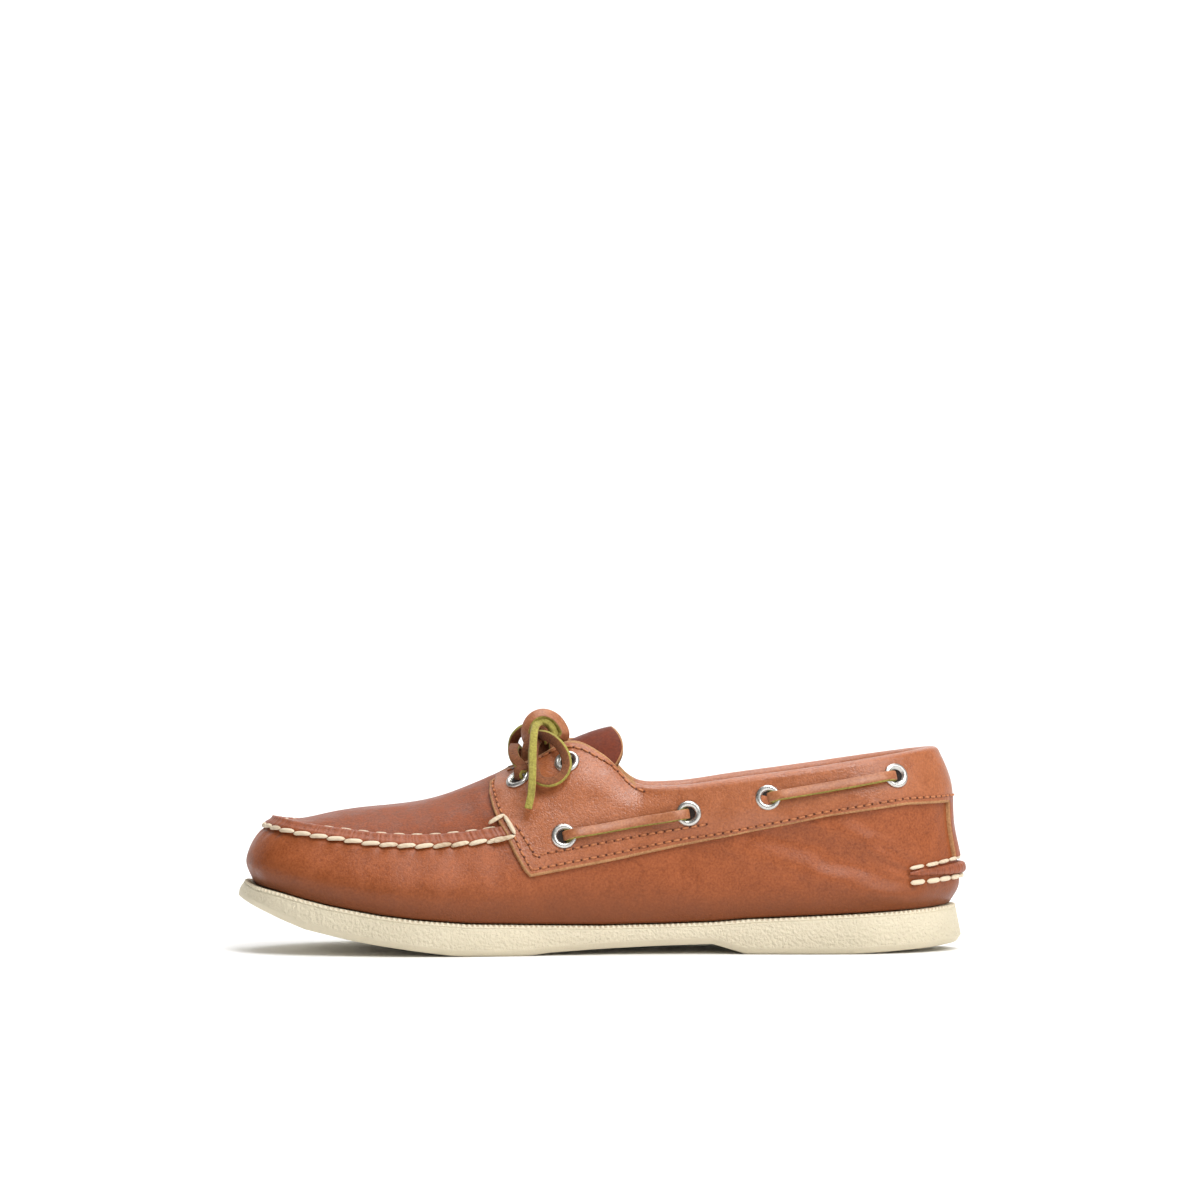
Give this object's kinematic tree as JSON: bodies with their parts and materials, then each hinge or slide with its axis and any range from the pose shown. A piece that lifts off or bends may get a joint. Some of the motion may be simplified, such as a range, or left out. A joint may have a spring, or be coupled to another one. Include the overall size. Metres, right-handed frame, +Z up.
{
  "type": "boat shoe",
  "caption": "Right leather boat shoe with a hand-sewn toe seam, a collar lace in metal eyelets, a bow at the throat and a pale rubber sole.",
  "frame": {"origin": "centre of the shoe's box on the floor, bow left out", "axes": "+X from toe to heel, -Y to the inner side of the foot, +Z up"},
  "size_m": [0.3002, 0.1046, 0.0983],
  "materials": {
    "tan_leather": "oiled, semi-matt",
    "seam_leather": "oiled, raw-edged",
    "tongue_leather": "semi-matt",
    "insole_leather": "matt",
    "sole_rubber": "matt, finely pebbled",
    "eyelet_metal": "satin",
    "rawhide_lace": "smooth face, suede edges"
  },
  "bodies": {
    "root": {"outsole": "sole_rubber", "insole": "insole_leather", "upper": "tan_leather", "saddle": "tan_leather", "toe_seam_ridge": "seam_leather", "heel_seam_ridge": "seam_leather", "back_strip": "seam_leather", "tongue": "tongue_leather", "eyelet_1_inner": "eyelet_metal", "eyelet_2_inner": "eyelet_metal", "eyelet_3_inner": "eyelet_metal", "eyelet_4_inner": "eyelet_metal", "eyelet_5_inner": "eyelet_metal", "eyelet_6_inner": "eyelet_metal", "eyelet_1_outer": "eyelet_metal", "eyelet_2_outer": "eyelet_metal", "eyelet_3_outer": "eyelet_metal", "eyelet_4_outer": "eyelet_metal", "eyelet_5_outer": "eyelet_metal", "eyelet_6_outer": "eyelet_metal", "side_lace_front_inner": "rawhide_lace", "side_lace_rear_inner": "rawhide_lace", "side_lace_front_outer": "rawhide_lace", "side_lace_rear_outer": "rawhide_lace", "front_lace": "rawhide_lace", "knot": "rawhide_lace", "loop_inner": "rawhide_lace", "loop_outer": "rawhide_lace", "end_inner": "rawhide_lace", "end_outer": "rawhide_lace"}
  },
  "joints": []
}
